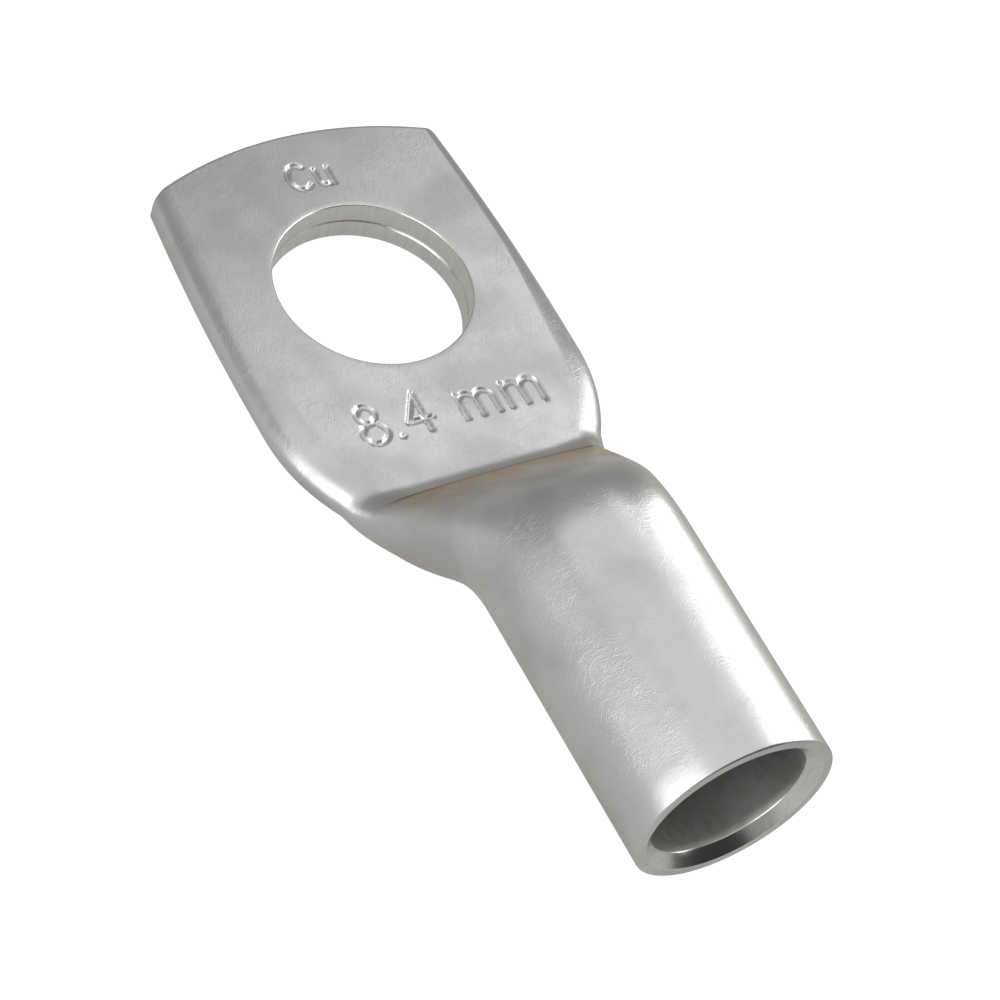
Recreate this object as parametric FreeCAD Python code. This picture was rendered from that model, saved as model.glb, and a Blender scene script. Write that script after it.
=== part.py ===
"""Tinned copper cable lug for 16 mm2 wire and an M8 stud, one piece.

The real part is a short length of copper tube. One end is left round for the
wire, the other is pressed flat, trimmed to an arc and punched for the stud.
So it is built here the same way: sections of the flattened tube are lofted
from the tip to the mouth, the tip is trimmed, the stud hole is punched, and
the bore is cut with its narrowing end between the two pressed layers.

Frame, in millimetres: the origin is the stud hole's axis on the underside of
the palm, +Z points out of the top of the palm, +X points at the mouth.
"""
import os

import FreeCAD
import Part
from math import asin, cos, radians, sin, sqrt, tan

# The stud hole. Every other size follows from this one in the photo.
HOLE_RADIUS = 4.2
HOLE_EDGE_CHAMFER = 0.12

# The palm, the flat end.
PALM_THICKNESS = 1.97
PALM_HALF_WIDTH = 7.33
PALM_WIDEST_X = 4.0
PALM_SIDE_ARC = 110.0
SHOULDER_START_X = 5.2
SHOULDER_ARC = 8.0
TIP_X = -8.36
TIP_ARC = 16.4
TIP_CORNER_ROUND = 0.2
TIP_STOCK = 2.0
SIDE_ROUND_AT_TIP = 0.65
SIDE_ROUND_AT_STEP = 1.05

# The round tube, the wire's end.
TUBE_RADIUS = 4.17
TUBE_AXIS_Z = 4.92
MOUTH_X = 28.77
MOUTH_EDGE_CHAMFER = 0.10
BORE_RADIUS = 3.26
BORE_CHAMFER = 0.47

# The step where the palm ends and the pressed stretch rises.
STEP_X = 9.72
STEP_FILLET = 0.95
STEP_ANGLE = 70.0
STEP_WALL_RUN = 0.08
CREST_ROUND = 0.6
RAMP_ANGLE = 52.0
RAMP_END_X = 14.3

# The side and the underside of the pressed stretch: at each x the half width,
# the half length of the top edge and of the under edge, the lean of the ends
# of each in degrees, and the height of the widest point. The top's height comes
# from the step and the ramp above.
SHAPE_AT = (
    (10.2, 5.78, 4.60, 4.75, 0.8, 0.5, 1.05),
    (10.7, 5.53, 4.15, 4.55, 3.0, 0.8, 1.12),
    (11.4, 5.27, 3.90, 4.15, 6.5, 2.0, 1.58),
    (12.3, 5.05, 3.50, 3.55, 9.5, 4.0, 2.45),
    (13.3, 4.78, 2.75, 2.60, 12.5, 7.5, 3.45),
    (14.3, 4.48, 1.85, 1.35, 13.5, 10.0, 4.40),
    (15.4, 4.25, 1.15, 0.95, 12.5, 11.6, 4.82),
    (16.5, 4.175, 0.88, 0.88, 12.0, 12.0, 4.92),
)
LIFT_START_X = 12.6
LIFT_END_X = 16.4
ROUND_LEAN = 12.0

# The seam between the two pressed layers, seen in the hole and on the tip.
SEAM_Z = 0.94
SEAM_HALF_WIDTH = 0.06
SEAM_DEPTH = 0.12

# The narrowing end of the bore, from the slit between the layers to the round
# bore: at each x the half width, the half height and the height of the middle.
SLIT_X = 10.2
SLIT_SIZE = (3.9, 0.16, 1.00)
NARROW_X = 13.6
NARROW_SIZE = (3.3, 1.75, 2.90)
BORE_END_X = 17.6
BORE_END_LEDGE = 0.06


def palm_half_width(x):
    """Half width of the palm: a long side arc, then the shoulder's arc."""
    side_centre = PALM_HALF_WIDTH - PALM_SIDE_ARC
    if x <= SHOULDER_START_X:
        return side_centre + sqrt(PALM_SIDE_ARC ** 2 - (x - PALM_WIDEST_X) ** 2)
    # The shoulder's arc starts tangent to the side arc.
    lean = asin((SHOULDER_START_X - PALM_WIDEST_X) / PALM_SIDE_ARC)
    start_y = side_centre + PALM_SIDE_ARC * cos(lean)
    centre_x = SHOULDER_START_X - SHOULDER_ARC * sin(lean)
    centre_y = start_y - SHOULDER_ARC * cos(lean)
    return centre_y + sqrt(SHOULDER_ARC ** 2 - (x - centre_x) ** 2)


def ramp_points():
    """The x and z where the fillet, wall, crest and ramp of the top meet."""
    wall, ramp = radians(STEP_ANGLE), radians(RAMP_ANGLE)
    x1 = STEP_X + STEP_FILLET * sin(wall)
    z1 = PALM_THICKNESS + STEP_FILLET * (1 - cos(wall))
    x2 = x1 + STEP_WALL_RUN
    z2 = z1 + STEP_WALL_RUN * tan(wall)
    x3 = x2 + CREST_ROUND * (sin(wall) - sin(ramp))
    z3 = z2 + CREST_ROUND * (cos(ramp) - cos(wall))
    z4 = z3 + (RAMP_END_X - x3) * tan(ramp)
    return x1, z1, x2, z2, x3, z3, RAMP_END_X, z4


def top_z(x):
    """Height of the top along the middle, from the palm to the round tube."""
    x1, z1, x2, z2, x3, z3, x4, z4 = ramp_points()
    wall, ramp = radians(STEP_ANGLE), radians(RAMP_ANGLE)
    crown = TUBE_AXIS_Z + TUBE_RADIUS
    crown_arc = (crown - z4) / (1 - cos(ramp))
    x5 = x4 + crown_arc * sin(ramp)
    if x <= STEP_X:
        return PALM_THICKNESS
    if x <= x1:
        return PALM_THICKNESS + STEP_FILLET - sqrt(STEP_FILLET ** 2 - (x - STEP_X) ** 2)
    if x <= x2:
        return z1 + (x - x1) * tan(wall)
    if x <= x3:
        centre_x = x2 + CREST_ROUND * sin(wall)
        return z2 - CREST_ROUND * cos(wall) + sqrt(CREST_ROUND ** 2 - (x - centre_x) ** 2)
    if x <= x4:
        return z3 + (x - x3) * tan(ramp)
    if x <= x5:
        return crown - crown_arc + sqrt(crown_arc ** 2 - (x5 - x) ** 2)
    return crown


def round_start_x():
    """The x from which the top is the round tube's crown."""
    z4 = ramp_points()[7]
    ramp = radians(RAMP_ANGLE)
    crown = TUBE_AXIS_Z + TUBE_RADIUS
    return RAMP_END_X + (crown - z4) / (1 - cos(ramp)) * sin(ramp)


def bottom_z(x):
    """Height of the underside: on the palm's plane, then up to the tube."""
    t = (x - LIFT_START_X) / (LIFT_END_X - LIFT_START_X)
    t = min(1.0, max(0.0, t))
    return (TUBE_AXIS_Z - TUBE_RADIUS) * t * t * (3 - 2 * t)


def blend_row(table, x):
    """A row between two rows of a table, on a smooth curve through them."""
    x = min(x, table[-1][0])
    for k in range(len(table) - 1):
        if x <= table[k + 1][0]:
            break
    low, high = table[k], table[k + 1]
    before = table[max(0, k - 1)]
    after = table[min(len(table) - 1, k + 2)]
    run = high[0] - low[0]
    t = (x - low[0]) / run
    row = []
    for n in range(1, len(low)):
        slope_low = (high[n] - before[n]) / (high[0] - before[0])
        slope_high = (after[n] - low[n]) / (after[0] - low[0])
        value = low[n] * (1 + 2 * t) * (1 - t) ** 2 + high[n] * t * t * (3 - 2 * t)
        value += run * (slope_low * t * (1 - t) ** 2 - slope_high * t * t * (1 - t))
        row.append(value)
    return row


def side_round(x):
    """Width of the palm's rounded side, which grows from the tip to the step."""
    t = (x - TIP_X) / (STEP_X - TIP_X)
    return SIDE_ROUND_AT_TIP + (SIDE_ROUND_AT_STEP - SIDE_ROUND_AT_TIP) * t


def outer_size(x):
    """Half width, both edges and their leans, top, bottom and widest height."""
    middle = PALM_THICKNESS / 2
    if x <= STEP_X - 0.3:
        half = palm_half_width(x)
        flat = half - side_round(x)
        return half, flat, flat, 0.0, 0.0, PALM_THICKNESS, 0.0, middle
    palm_row = []
    for at in (STEP_X - 1.2, STEP_X - 0.6, STEP_X - 0.3):
        half = palm_half_width(at)
        flat = half - side_round(at)
        palm_row.append((at, half, flat, flat, 0.0, 0.0, middle))
    tube_row = []
    edge = TUBE_RADIUS * sin(radians(ROUND_LEAN))
    for at in (round_start_x(), round_start_x() + 1.0):
        row = (at, TUBE_RADIUS, edge, edge, ROUND_LEAN, ROUND_LEAN, TUBE_AXIS_Z)
        tube_row.append(row)
    table = palm_row + list(SHAPE_AT) + tube_row
    half, top_edge, under_edge, lean, under_lean, widest = blend_row(table, x)
    leans = max(0.0, lean), max(0.0, under_lean)
    return half, top_edge, under_edge, *leans, top_z(x), bottom_z(x), widest


def handle(turn):
    """Share of the way to the tangents' meeting point for a smooth arc."""
    if turn < 1e-6:
        return 2 / 3
    return 4 / 3 * tan(turn / 4) / tan(turn / 2)


def curve(x, points):
    """A cubic curve with four poles at the given y and z."""
    bezier = Part.BezierCurve()
    bezier.setPoles([FreeCAD.Vector(x, y, z) for y, z in points])
    return bezier.toShape()


def cap_points(edge, lean, crown, side):
    """The top (side = 1) or under (side = -1) edge, from -y to +y."""
    a = radians(lean)
    share = handle(2 * a)
    rise = share * edge * tan(a) * side
    low = crown - 0.75 * rise
    y = edge * (1 - share)
    return [(-edge, low), (-y, low + rise), (y, low + rise), (edge, low)]


def corner_points(edge, lean, crown, side, half, widest):
    """From the end of the top or under edge round to the widest point."""
    a = radians(lean)
    low = cap_points(edge, lean, crown, side)[3][1]
    share = handle(radians(90) - a)
    meet_z = low - side * (half - edge) * tan(a)
    first = (edge + share * (half - edge), low + share * (meet_z - low))
    second = (half, widest + share * (meet_z - widest))
    return [(edge, low), first, second, (half, widest)]


def section(x, half, top_edge, under_edge, lean, under_lean, top, bottom, widest):
    """A flattened ring: a top and an under edge joined by four round corners."""
    upper = corner_points(top_edge, lean, top, 1, half, widest)
    lower = corner_points(under_edge, under_lean, bottom, -1, half, widest)
    left_upper = [(-y, z) for y, z in upper]
    left_lower = [(-y, z) for y, z in lower]
    edges = [
        curve(x, cap_points(top_edge, lean, top, 1)),
        curve(x, upper),
        curve(x, lower[::-1]),
        curve(x, cap_points(under_edge, under_lean, bottom, -1)[::-1]),
        curve(x, left_lower),
        curve(x, left_upper[::-1]),
    ]
    return Part.Wire(edges)


def stretch(stations, straight=False):
    """A solid through the outer sections, smooth or straight between them."""
    wires = [section(x, *outer_size(x)) for x in stations]
    return Part.makeLoft(wires, True, straight)


def with_true_flats(solid):
    """The same solid, with each flat face of a straight loft made a plane."""
    faces = []
    for face in solid.Faces:
        if face.Surface.isPlanar() and face.Surface.TypeId != "Part::GeomPlane":
            u0, u1, v0, v1 = face.ParameterRange
            out = face.normalAt((u0 + u1) / 2, (v0 + v1) / 2)
            plane = Part.Plane(face.OuterWire.Vertexes[0].Point, out)
            face = Part.Face(plane, face.OuterWire)
            if face.normalAt(0, 0).dot(out) < 0:
                face.reverse()
        faces.append(face)
    return Part.Solid(Part.Shell(faces))


def spaced(start, end, count):
    """Count x values from start to end, both included."""
    return [start + (end - start) * k / (count - 1) for k in range(count)]


def pressed_tube():
    """The flattened tube before trimming, solid through."""
    x1, z1, x2, z2, x3, z3, x4, z4 = ramp_points()
    palm = stretch(spaced(TIP_X - TIP_STOCK, SHOULDER_START_X, 5), True)
    palm = with_true_flats(palm)
    shoulder = stretch(spaced(SHOULDER_START_X, STEP_X - 0.3, 6), True)
    shoulder = with_true_flats(shoulder)
    fillet = stretch([STEP_X - 0.3] + spaced(STEP_X, x1, 4))
    crest = stretch([x1, x2, x3])
    ramp = stretch(spaced(x3, RAMP_END_X, 4), True)
    crown = stretch(spaced(RAMP_END_X, round_start_x(), 5))
    tube = stretch([round_start_x(), MOUTH_X], True)
    whole = palm
    for piece in (shoulder, fillet, crest, ramp, crown, tube):
        whole = whole.fuse(piece)
    return whole


def tip_blank():
    """A block whose one end has the tip's arc and its rounded corners."""
    centre_x = TIP_X + TIP_ARC
    reach = PALM_HALF_WIDTH + 1.0
    corner_y = palm_half_width(TIP_X + 1.3)
    corner_x = centre_x - sqrt(TIP_ARC ** 2 - corner_y ** 2)
    far = MOUTH_X + 5.0
    up = PALM_THICKNESS + TUBE_RADIUS * 2 + 5.0
    arc = Part.Arc(
        FreeCAD.Vector(corner_x, corner_y, -1),
        FreeCAD.Vector(TIP_X, 0, -1),
        FreeCAD.Vector(corner_x, -corner_y, -1),
    ).toShape()
    shelf = corner_x + 2.5
    line = [
        (corner_x, -corner_y, -1),
        (shelf, -palm_half_width(shelf), -1),
        (shelf, -reach, -1),
        (far, -reach, -1),
        (far, reach, -1),
        (shelf, reach, -1),
        (shelf, palm_half_width(shelf), -1),
        (corner_x, corner_y, -1),
    ]
    sides = [Part.makeLine(line[k], line[k + 1]) for k in range(len(line) - 1)]
    blank = Part.Face(Part.Wire([arc] + sides)).extrude(FreeCAD.Vector(0, 0, up))
    corners = []
    for edge in blank.Edges:
        ends = [v.Point for v in edge.Vertexes]
        upright = len(ends) == 2 and abs(ends[0].z - ends[1].z) > up - 0.01
        if upright and abs(ends[0].x - corner_x) < 0.01:
            corners.append(edge)
    return blank.makeFillet(TIP_CORNER_ROUND, corners)


def seam_ring(radius, centre_x, from_angle, to_angle, inward):
    """A shallow V cut that follows an arc at the seam's height."""
    reach = SEAM_DEPTH if inward else -SEAM_DEPTH
    lip = -0.05 if inward else 0.05
    back = SEAM_HALF_WIDTH * 0.05 / SEAM_DEPTH
    mouth = SEAM_HALF_WIDTH + back
    points = [
        FreeCAD.Vector(centre_x + radius + lip, 0, SEAM_Z - mouth),
        FreeCAD.Vector(centre_x + radius + reach, 0, SEAM_Z),
        FreeCAD.Vector(centre_x + radius + lip, 0, SEAM_Z + mouth),
        FreeCAD.Vector(centre_x + radius + lip, 0, SEAM_Z - mouth),
    ]
    face = Part.Face(Part.makePolygon(points))
    axis_at = FreeCAD.Vector(centre_x, 0, 0)
    axis = FreeCAD.Vector(0, 0, 1)
    face.rotate(axis_at, axis, from_angle)
    return face.revolve(axis_at, axis, to_angle - from_angle)


def stud_hole():
    """The punched hole: its edge is broken at the top, sharp on the underside."""
    up = FreeCAD.Vector(0, 0, 1)
    start = FreeCAD.Vector(0, 0, -1)
    straight = Part.makeCylinder(HOLE_RADIUS, PALM_THICKNESS + 2, start, up)
    edge = Part.makeCone(
        HOLE_RADIUS,
        HOLE_RADIUS + HOLE_EDGE_CHAMFER + 0.5,
        HOLE_EDGE_CHAMFER + 0.5,
        FreeCAD.Vector(0, 0, PALM_THICKNESS - HOLE_EDGE_CHAMFER),
        up,
    )
    return straight.fuse(edge)


def inner_ring(x, half, high, middle, bulge):
    """Four edges through the corners of a rectangle, straight or bulged."""
    corners = [(-half, -high), (half, -high), (half, high), (-half, high)]
    outward = [(0, -1), (1, 0), (0, 1), (-1, 0)]
    reach = sqrt(half ** 2 + high ** 2)
    edges = []
    for k in range(4):
        start = FreeCAD.Vector(x, corners[k][0], middle + corners[k][1])
        end = FreeCAD.Vector(x, corners[(k + 1) % 4][0], middle + corners[(k + 1) % 4][1])
        if bulge:
            out = FreeCAD.Vector(x, reach * outward[k][0], middle + reach * outward[k][1])
            edges.append(Part.Arc(start, out, end).toShape())
        else:
            edges.append(Part.makeLine(start, end))
    return Part.Wire(edges)


def bore():
    """The wire's bore with its chamfered mouth and its narrowing end."""
    along = FreeCAD.Vector(1, 0, 0)
    start = FreeCAD.Vector(BORE_END_X, 0, TUBE_AXIS_Z)
    straight = Part.makeCylinder(BORE_RADIUS, MOUTH_X + 1.0 - BORE_END_X, start, along)
    flare = Part.makeCone(
        BORE_RADIUS,
        BORE_RADIUS + BORE_CHAMFER + 0.5,
        BORE_CHAMFER + 0.5,
        FreeCAD.Vector(MOUTH_X - BORE_CHAMFER, 0, TUBE_AXIS_Z),
        along,
    )
    # The narrowing end joins the straight bore at a hair's ledge.
    corner = (BORE_RADIUS - BORE_END_LEDGE) / sqrt(2)
    wires = [
        inner_ring(SLIT_X, *SLIT_SIZE, False),
        inner_ring(NARROW_X, *NARROW_SIZE, False),
        inner_ring(BORE_END_X, corner, corner, TUBE_AXIS_Z, True),
        inner_ring(BORE_END_X + 0.4, corner, corner, TUBE_AXIS_Z, True),
    ]
    narrowing = Part.makeLoft(wires, True, True)
    return straight.fuse(flare).fuse(narrowing)


def mouth_edge():
    """What comes off the outer edge of the mouth: a ring with a sloped inside."""
    along = FreeCAD.Vector(1, 0, 0)
    start = FreeCAD.Vector(MOUTH_X - MOUTH_EDGE_CHAMFER, 0, TUBE_AXIS_Z)
    depth = MOUTH_EDGE_CHAMFER + 1.0
    band = Part.makeCylinder(TUBE_RADIUS + 1.0, depth, start, along)
    keep = Part.makeCone(TUBE_RADIUS, TUBE_RADIUS - depth, depth, start, along)
    return band.cut(keep)


def cable_lug():
    """The finished lug."""
    lug = pressed_tube()
    lug = lug.common(tip_blank())
    lug = lug.cut(mouth_edge())
    lug = lug.cut(stud_hole())
    lug = lug.cut(bore())
    lug = lug.cut(seam_ring(HOLE_RADIUS, 0.0, 0, 360, True))
    lug = lug.cut(seam_ring(TIP_ARC, TIP_X + TIP_ARC, 155, 205, False))
    # Neighbouring faces on the same plane or cylinder become one face.
    lug = lug.removeSplitter()
    solids = lug.Solids
    if len(solids) != 1 or not lug.isValid():
        raise RuntimeError("the lug must be one valid solid, got %d" % len(solids))
    return solids[0]


os.makedirs("parts", exist_ok=True)
LUG = cable_lug()
LUG.exportStep("parts/cable_lug.step")
box = LUG.BoundBox
print("lug", round(box.XLength, 3), round(box.YLength, 3), round(box.ZLength, 3), "mm")
print("volume", round(LUG.Volume, 2), "mm3, faces", len(LUG.Faces))
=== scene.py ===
# %% [markdown]
# # A tinned copper cable lug
#
# The real object is one short piece of copper tube. One end stays round and
# takes the wire. The other end is pressed flat into a palm, cut to an arc,
# and punched for the stud. The whole lug is then plated with tin, which gives
# it a grey satin skin with fine scratches from tumbling in a barrel.
#
# This lesson makes that skin as one closed surface, worked out with numpy
# from the same sizes as the solid model, so it lies where the solid lies, to
# about a tenth of a millimetre. All sizes below are millimetres until the
# last step of each piece.

from math import cos, pi, radians, sin, sqrt, tan

import bmesh
import bpy
import numpy as np
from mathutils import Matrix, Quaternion, Vector


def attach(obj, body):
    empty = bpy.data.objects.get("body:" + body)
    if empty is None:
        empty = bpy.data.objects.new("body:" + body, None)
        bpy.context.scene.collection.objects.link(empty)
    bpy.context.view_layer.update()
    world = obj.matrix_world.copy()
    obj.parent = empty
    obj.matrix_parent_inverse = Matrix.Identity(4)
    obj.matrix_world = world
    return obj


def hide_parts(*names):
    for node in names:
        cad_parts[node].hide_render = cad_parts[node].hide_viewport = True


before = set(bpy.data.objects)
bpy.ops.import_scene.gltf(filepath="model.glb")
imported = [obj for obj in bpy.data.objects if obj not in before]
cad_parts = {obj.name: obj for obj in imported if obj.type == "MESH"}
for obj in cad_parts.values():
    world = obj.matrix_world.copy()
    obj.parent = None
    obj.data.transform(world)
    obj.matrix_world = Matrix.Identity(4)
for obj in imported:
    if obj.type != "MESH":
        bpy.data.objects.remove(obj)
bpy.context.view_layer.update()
MM = 0.001
print("solids in the frame:", sorted(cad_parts))

# %% [markdown]
# ## The sizes of the lug
#
# A render only matches a part if both use the same sizes. These are the
# lug's own: the palm with its long side arcs, the shoulders, the step where
# the tube rises, and the round tube. They could be read off the solid's
# triangles, but a formula gives a smooth surface at any fineness, and a
# triangle list does not.

# %% Name the sizes
PALM_THICKNESS = 1.97
PALM_HALF_WIDTH = 7.33
PALM_WIDEST_X = 4.0
PALM_SIDE_ARC = 110.0
SHOULDER_START_X = 5.2
SHOULDER_ARC = 8.0
TIP_X = -8.36
TIP_ARC = 16.4
TIP_CORNER_ROUND = 0.2
SIDE_ROUND_AT_TIP = 0.65
SIDE_ROUND_AT_STEP = 1.05
SHOULDER_EXTRA = 0.40
EXTRA_FROM_X, EXTRA_BY_X = -1.0, 6.0
TUBE_RADIUS = 4.17
TUBE_AXIS_Z = 4.92
MOUTH_X = 28.77
STEP_X = 9.72
STEP_START = STEP_X - 0.3
STEP_FILLET = 0.95
STEP_ANGLE = 70.0
STEP_WALL_RUN = 0.08
CREST_ROUND = 0.6
RAMP_ANGLE = 52.0
RAMP_END_X = 14.3
LIFT_START_X = 12.6
LIFT_END_X = 16.4
ROUND_LEAN = 12.0
# At each x: half width, half length of the top edge and of the under edge,
# lean of the ends of each in degrees, height of the widest point.
SHAPE_AT = (
    (10.2, 5.78, 4.60, 4.75, 0.8, 0.5, 1.05),
    (10.7, 5.53, 4.15, 4.55, 3.0, 0.8, 1.12),
    (11.4, 5.27, 3.90, 4.15, 6.5, 2.0, 1.58),
    (12.3, 5.05, 3.50, 3.55, 9.5, 4.0, 2.45),
    (13.3, 4.78, 2.75, 2.60, 12.5, 7.5, 3.45),
    (14.3, 4.48, 1.85, 1.35, 13.5, 10.0, 4.40),
    (15.4, 4.25, 1.15, 0.95, 12.5, 11.6, 4.82),
    (16.5, 4.175, 0.88, 0.88, 12.0, 12.0, 4.92),
)
print("tip to mouth:", round(MOUTH_X - TIP_X, 2), "mm")

# %% A smooth step, used all through the lesson
def spread(x, start, end):
    """0 before start, 1 after end, and 3 t squared less 2 t cubed between."""
    t = np.clip((x - start) / (end - start), 0, 1)
    return t * t * (3 - 2 * t)


print("a quarter of the way:", spread(0.25, 0, 1))

# %% The palm's half width, for one x or a whole array
SIDE_LEAN = np.arcsin((SHOULDER_START_X - PALM_WIDEST_X) / PALM_SIDE_ARC)
SIDE_CENTRE_Y = PALM_HALF_WIDTH - PALM_SIDE_ARC
SHOULDER_CENTRE_X = SHOULDER_START_X - SHOULDER_ARC * sin(SIDE_LEAN)
SHOULDER_CENTRE_Y = SIDE_CENTRE_Y + (PALM_SIDE_ARC - SHOULDER_ARC) * cos(SIDE_LEAN)


def palm_half_width(x):
    """A long arc about a point far across the palm, then the shoulder's
    short arc, which starts tangent to it."""
    along_side = x - PALM_WIDEST_X
    side = SIDE_CENTRE_Y + np.sqrt(PALM_SIDE_ARC**2 - along_side**2)
    along_shoulder = np.maximum(x, SHOULDER_START_X) - SHOULDER_CENTRE_X
    shoulder = SHOULDER_CENTRE_Y + np.sqrt(SHOULDER_ARC**2 - along_shoulder**2)
    return np.where(x <= SHOULDER_START_X, side, shoulder)


def side_round(x):
    """Width of the rounded side: a straight line from the tip to the step,
    and a little more where the shoulder was squeezed out between the dies."""
    share = (x - TIP_X) / (STEP_X - TIP_X)
    straight = SIDE_ROUND_AT_TIP + (SIDE_ROUND_AT_STEP - SIDE_ROUND_AT_TIP) * share
    return straight + SHOULDER_EXTRA * spread(x, EXTRA_FROM_X, EXTRA_BY_X)


print("palm is", round(2 * float(palm_half_width(PALM_WIDEST_X)), 2), "mm wide")

# %% [markdown]
# ## The step and the ramp
#
# Where the press stops, the flat palm turns up in a small fillet, passes a
# short wall and a crest, and climbs a 52 degree ramp to the round tube. Seen
# from the side this is one line of arcs and straights, so the height of the
# top is a function of x alone, and the stations across it can be spaced by
# the angle of each arc. That puts many rows where the line bends.

# %% Heights along the lug
WALL, RAMP = radians(STEP_ANGLE), radians(RAMP_ANGLE)
CROWN_Z = TUBE_AXIS_Z + TUBE_RADIUS
FILLET_END_X = STEP_X + STEP_FILLET * sin(WALL)
FILLET_END_Z = PALM_THICKNESS + STEP_FILLET * (1 - cos(WALL))
WALL_END_X = FILLET_END_X + STEP_WALL_RUN
WALL_END_Z = FILLET_END_Z + STEP_WALL_RUN * tan(WALL)
CREST_END_X = WALL_END_X + CREST_ROUND * (sin(WALL) - sin(RAMP))
CREST_END_Z = WALL_END_Z + CREST_ROUND * (cos(RAMP) - cos(WALL))
RAMP_END_Z = CREST_END_Z + (RAMP_END_X - CREST_END_X) * tan(RAMP)
CROWN_ARC = (CROWN_Z - RAMP_END_Z) / (1 - cos(RAMP))
ROUND_START_X = RAMP_END_X + CROWN_ARC * sin(RAMP)


def top_z(x):
    """Palm, concave arc, straight wall, convex crest, straight ramp, convex
    arc up to the tube's crown. Each arc is its centre plus or minus the root
    of radius squared less distance squared."""
    if x <= STEP_X:
        return PALM_THICKNESS
    if x <= FILLET_END_X:
        return PALM_THICKNESS + STEP_FILLET - sqrt(STEP_FILLET**2 - (x - STEP_X) ** 2)
    if x <= WALL_END_X:
        return FILLET_END_Z + (x - FILLET_END_X) * tan(WALL)
    if x <= CREST_END_X:
        centre_x = WALL_END_X + CREST_ROUND * sin(WALL)
        arc = sqrt(CREST_ROUND**2 - (x - centre_x) ** 2)
        return WALL_END_Z - CREST_ROUND * cos(WALL) + arc
    if x <= RAMP_END_X:
        return CREST_END_Z + (x - CREST_END_X) * tan(RAMP)
    if x <= ROUND_START_X:
        return CROWN_Z - CROWN_ARC + sqrt(CROWN_ARC**2 - (ROUND_START_X - x) ** 2)
    return CROWN_Z


def bottom_z(x):
    """The underside lies on the palm's plane, then lifts on a smooth step to
    the underside of the round tube."""
    return (TUBE_AXIS_Z - TUBE_RADIUS) * float(spread(x, LIFT_START_X, LIFT_END_X))


print("crest at z", round(WALL_END_Z, 2), "round tube from x", round(ROUND_START_X, 2))

# %% [markdown]
# ## The section of the pressed tube
#
# Cut across anywhere, the lug is a flattened ring: a top edge and an under
# edge joined by four round corners. Six cubic curves draw it. In the palm the
# edges are straight. Further on they shorten and their ends lean, until the
# six curves together are the circle of the tube. The few numbers that steer
# them come from the table above, on a smooth curve through its rows.

# %% Sizes of the section at one x
def blend_row(table, x):
    """A cubic between two rows, with each row's slope taken from the rows
    beside it (a Hermite curve)."""
    x = min(x, table[-1][0])
    for k in range(len(table) - 1):
        if x <= table[k + 1][0]:
            break
    low, high = np.array(table[k]), np.array(table[k + 1])
    before = np.array(table[max(0, k - 1)])
    after = np.array(table[min(len(table) - 1, k + 2)])
    run = high[0] - low[0]
    t = (x - low[0]) / run
    slope_low = (high - before) / (high[0] - before[0])
    slope_high = (after - low) / (after[0] - low[0])
    value = low * (1 + 2 * t) * (1 - t) ** 2 + high * t * t * (3 - 2 * t)
    value += run * (slope_low * t * (1 - t) ** 2 - slope_high * t * t * (1 - t))
    return value[1:]


def palm_row(x):
    """The same row of sizes for a place on the flat palm."""
    half = float(palm_half_width(x))
    flat = half - side_round(x)
    return (x, half, flat, flat, 0.0, 0.0, PALM_THICKNESS / 2)


def tube_row(x):
    """The same row of sizes for a place on the round tube."""
    edge = TUBE_RADIUS * sin(radians(ROUND_LEAN))
    return (x, TUBE_RADIUS, edge, edge, ROUND_LEAN, ROUND_LEAN, TUBE_AXIS_Z)


PALM_ROWS_BEFORE_STEP = (1.2, 0.6, 0.3)
WHOLE_TABLE = (
    [palm_row(STEP_X - back) for back in PALM_ROWS_BEFORE_STEP]
    + list(SHAPE_AT)
    + [tube_row(ROUND_START_X), tube_row(ROUND_START_X + 1)]
)


def section_size(x):
    """Half width, both edges and their leans, top, bottom, widest height."""
    if x <= STEP_START:
        _, half, flat, _, _, _, middle = palm_row(x)
        return half, flat, flat, 0.0, 0.0, PALM_THICKNESS, 0.0, middle
    half, top_edge, under_edge, lean, under_lean, widest = blend_row(WHOLE_TABLE, x)
    leans = max(0.0, lean), max(0.0, under_lean)
    return half, top_edge, under_edge, *leans, top_z(x), bottom_z(x), widest


print("section at x 12:", np.round(section_size(12.0), 2))

# %% The poles of the six curves
COIN_SHARE = 0.08
MIDDLE = PALM_THICKNESS / 2


def handle(turn):
    """Share of the way to the tangents' meeting point that makes a cubic
    follow an arc of this turn: 4/3 tan(turn/4) over tan(turn/2)."""
    return 2 / 3 if turn < 1e-6 else 4 / 3 * tan(turn / 4) / tan(turn / 2)


def cap_poles(edge, lean, crown, side):
    """The top (side 1) or under (side -1) edge, from -y to +y. A cubic rises
    three quarters of the way to its middle poles, so its ends lie that much
    below the crown."""
    a = radians(lean)
    share = handle(2 * a)
    rise = share * edge * tan(a) * side
    low, y = crown - 0.75 * rise, edge * (1 - share)
    return np.array([(-edge, low), (-y, low + rise), (y, low + rise), (edge, low)])


def corner_poles(edge, lean, crown, side, half, widest, coin=0.0):
    """From the end of the top or under edge round to the widest point. On
    the palm the die leaves a faint crease there: coin pulls the first
    handle in, so the corner starts with a lean of its own."""
    a = radians(lean)
    low = cap_poles(edge, lean, crown, side)[3][1]
    share = handle(pi / 2 - a)
    meet_z = low - side * (half - edge) * tan(a)
    pulled = low + share * (meet_z - low) - side * coin * MIDDLE
    first = (edge + share * (half - edge), pulled)
    second = (half, widest + share * (meet_z - widest))
    return np.array([(edge, low), first, second, (half, widest)])


print("handle of a quarter circle:", round(handle(pi / 2), 4))

# %% One section, from the six curves
CREASE_FADES_OVER = 0.9


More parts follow.
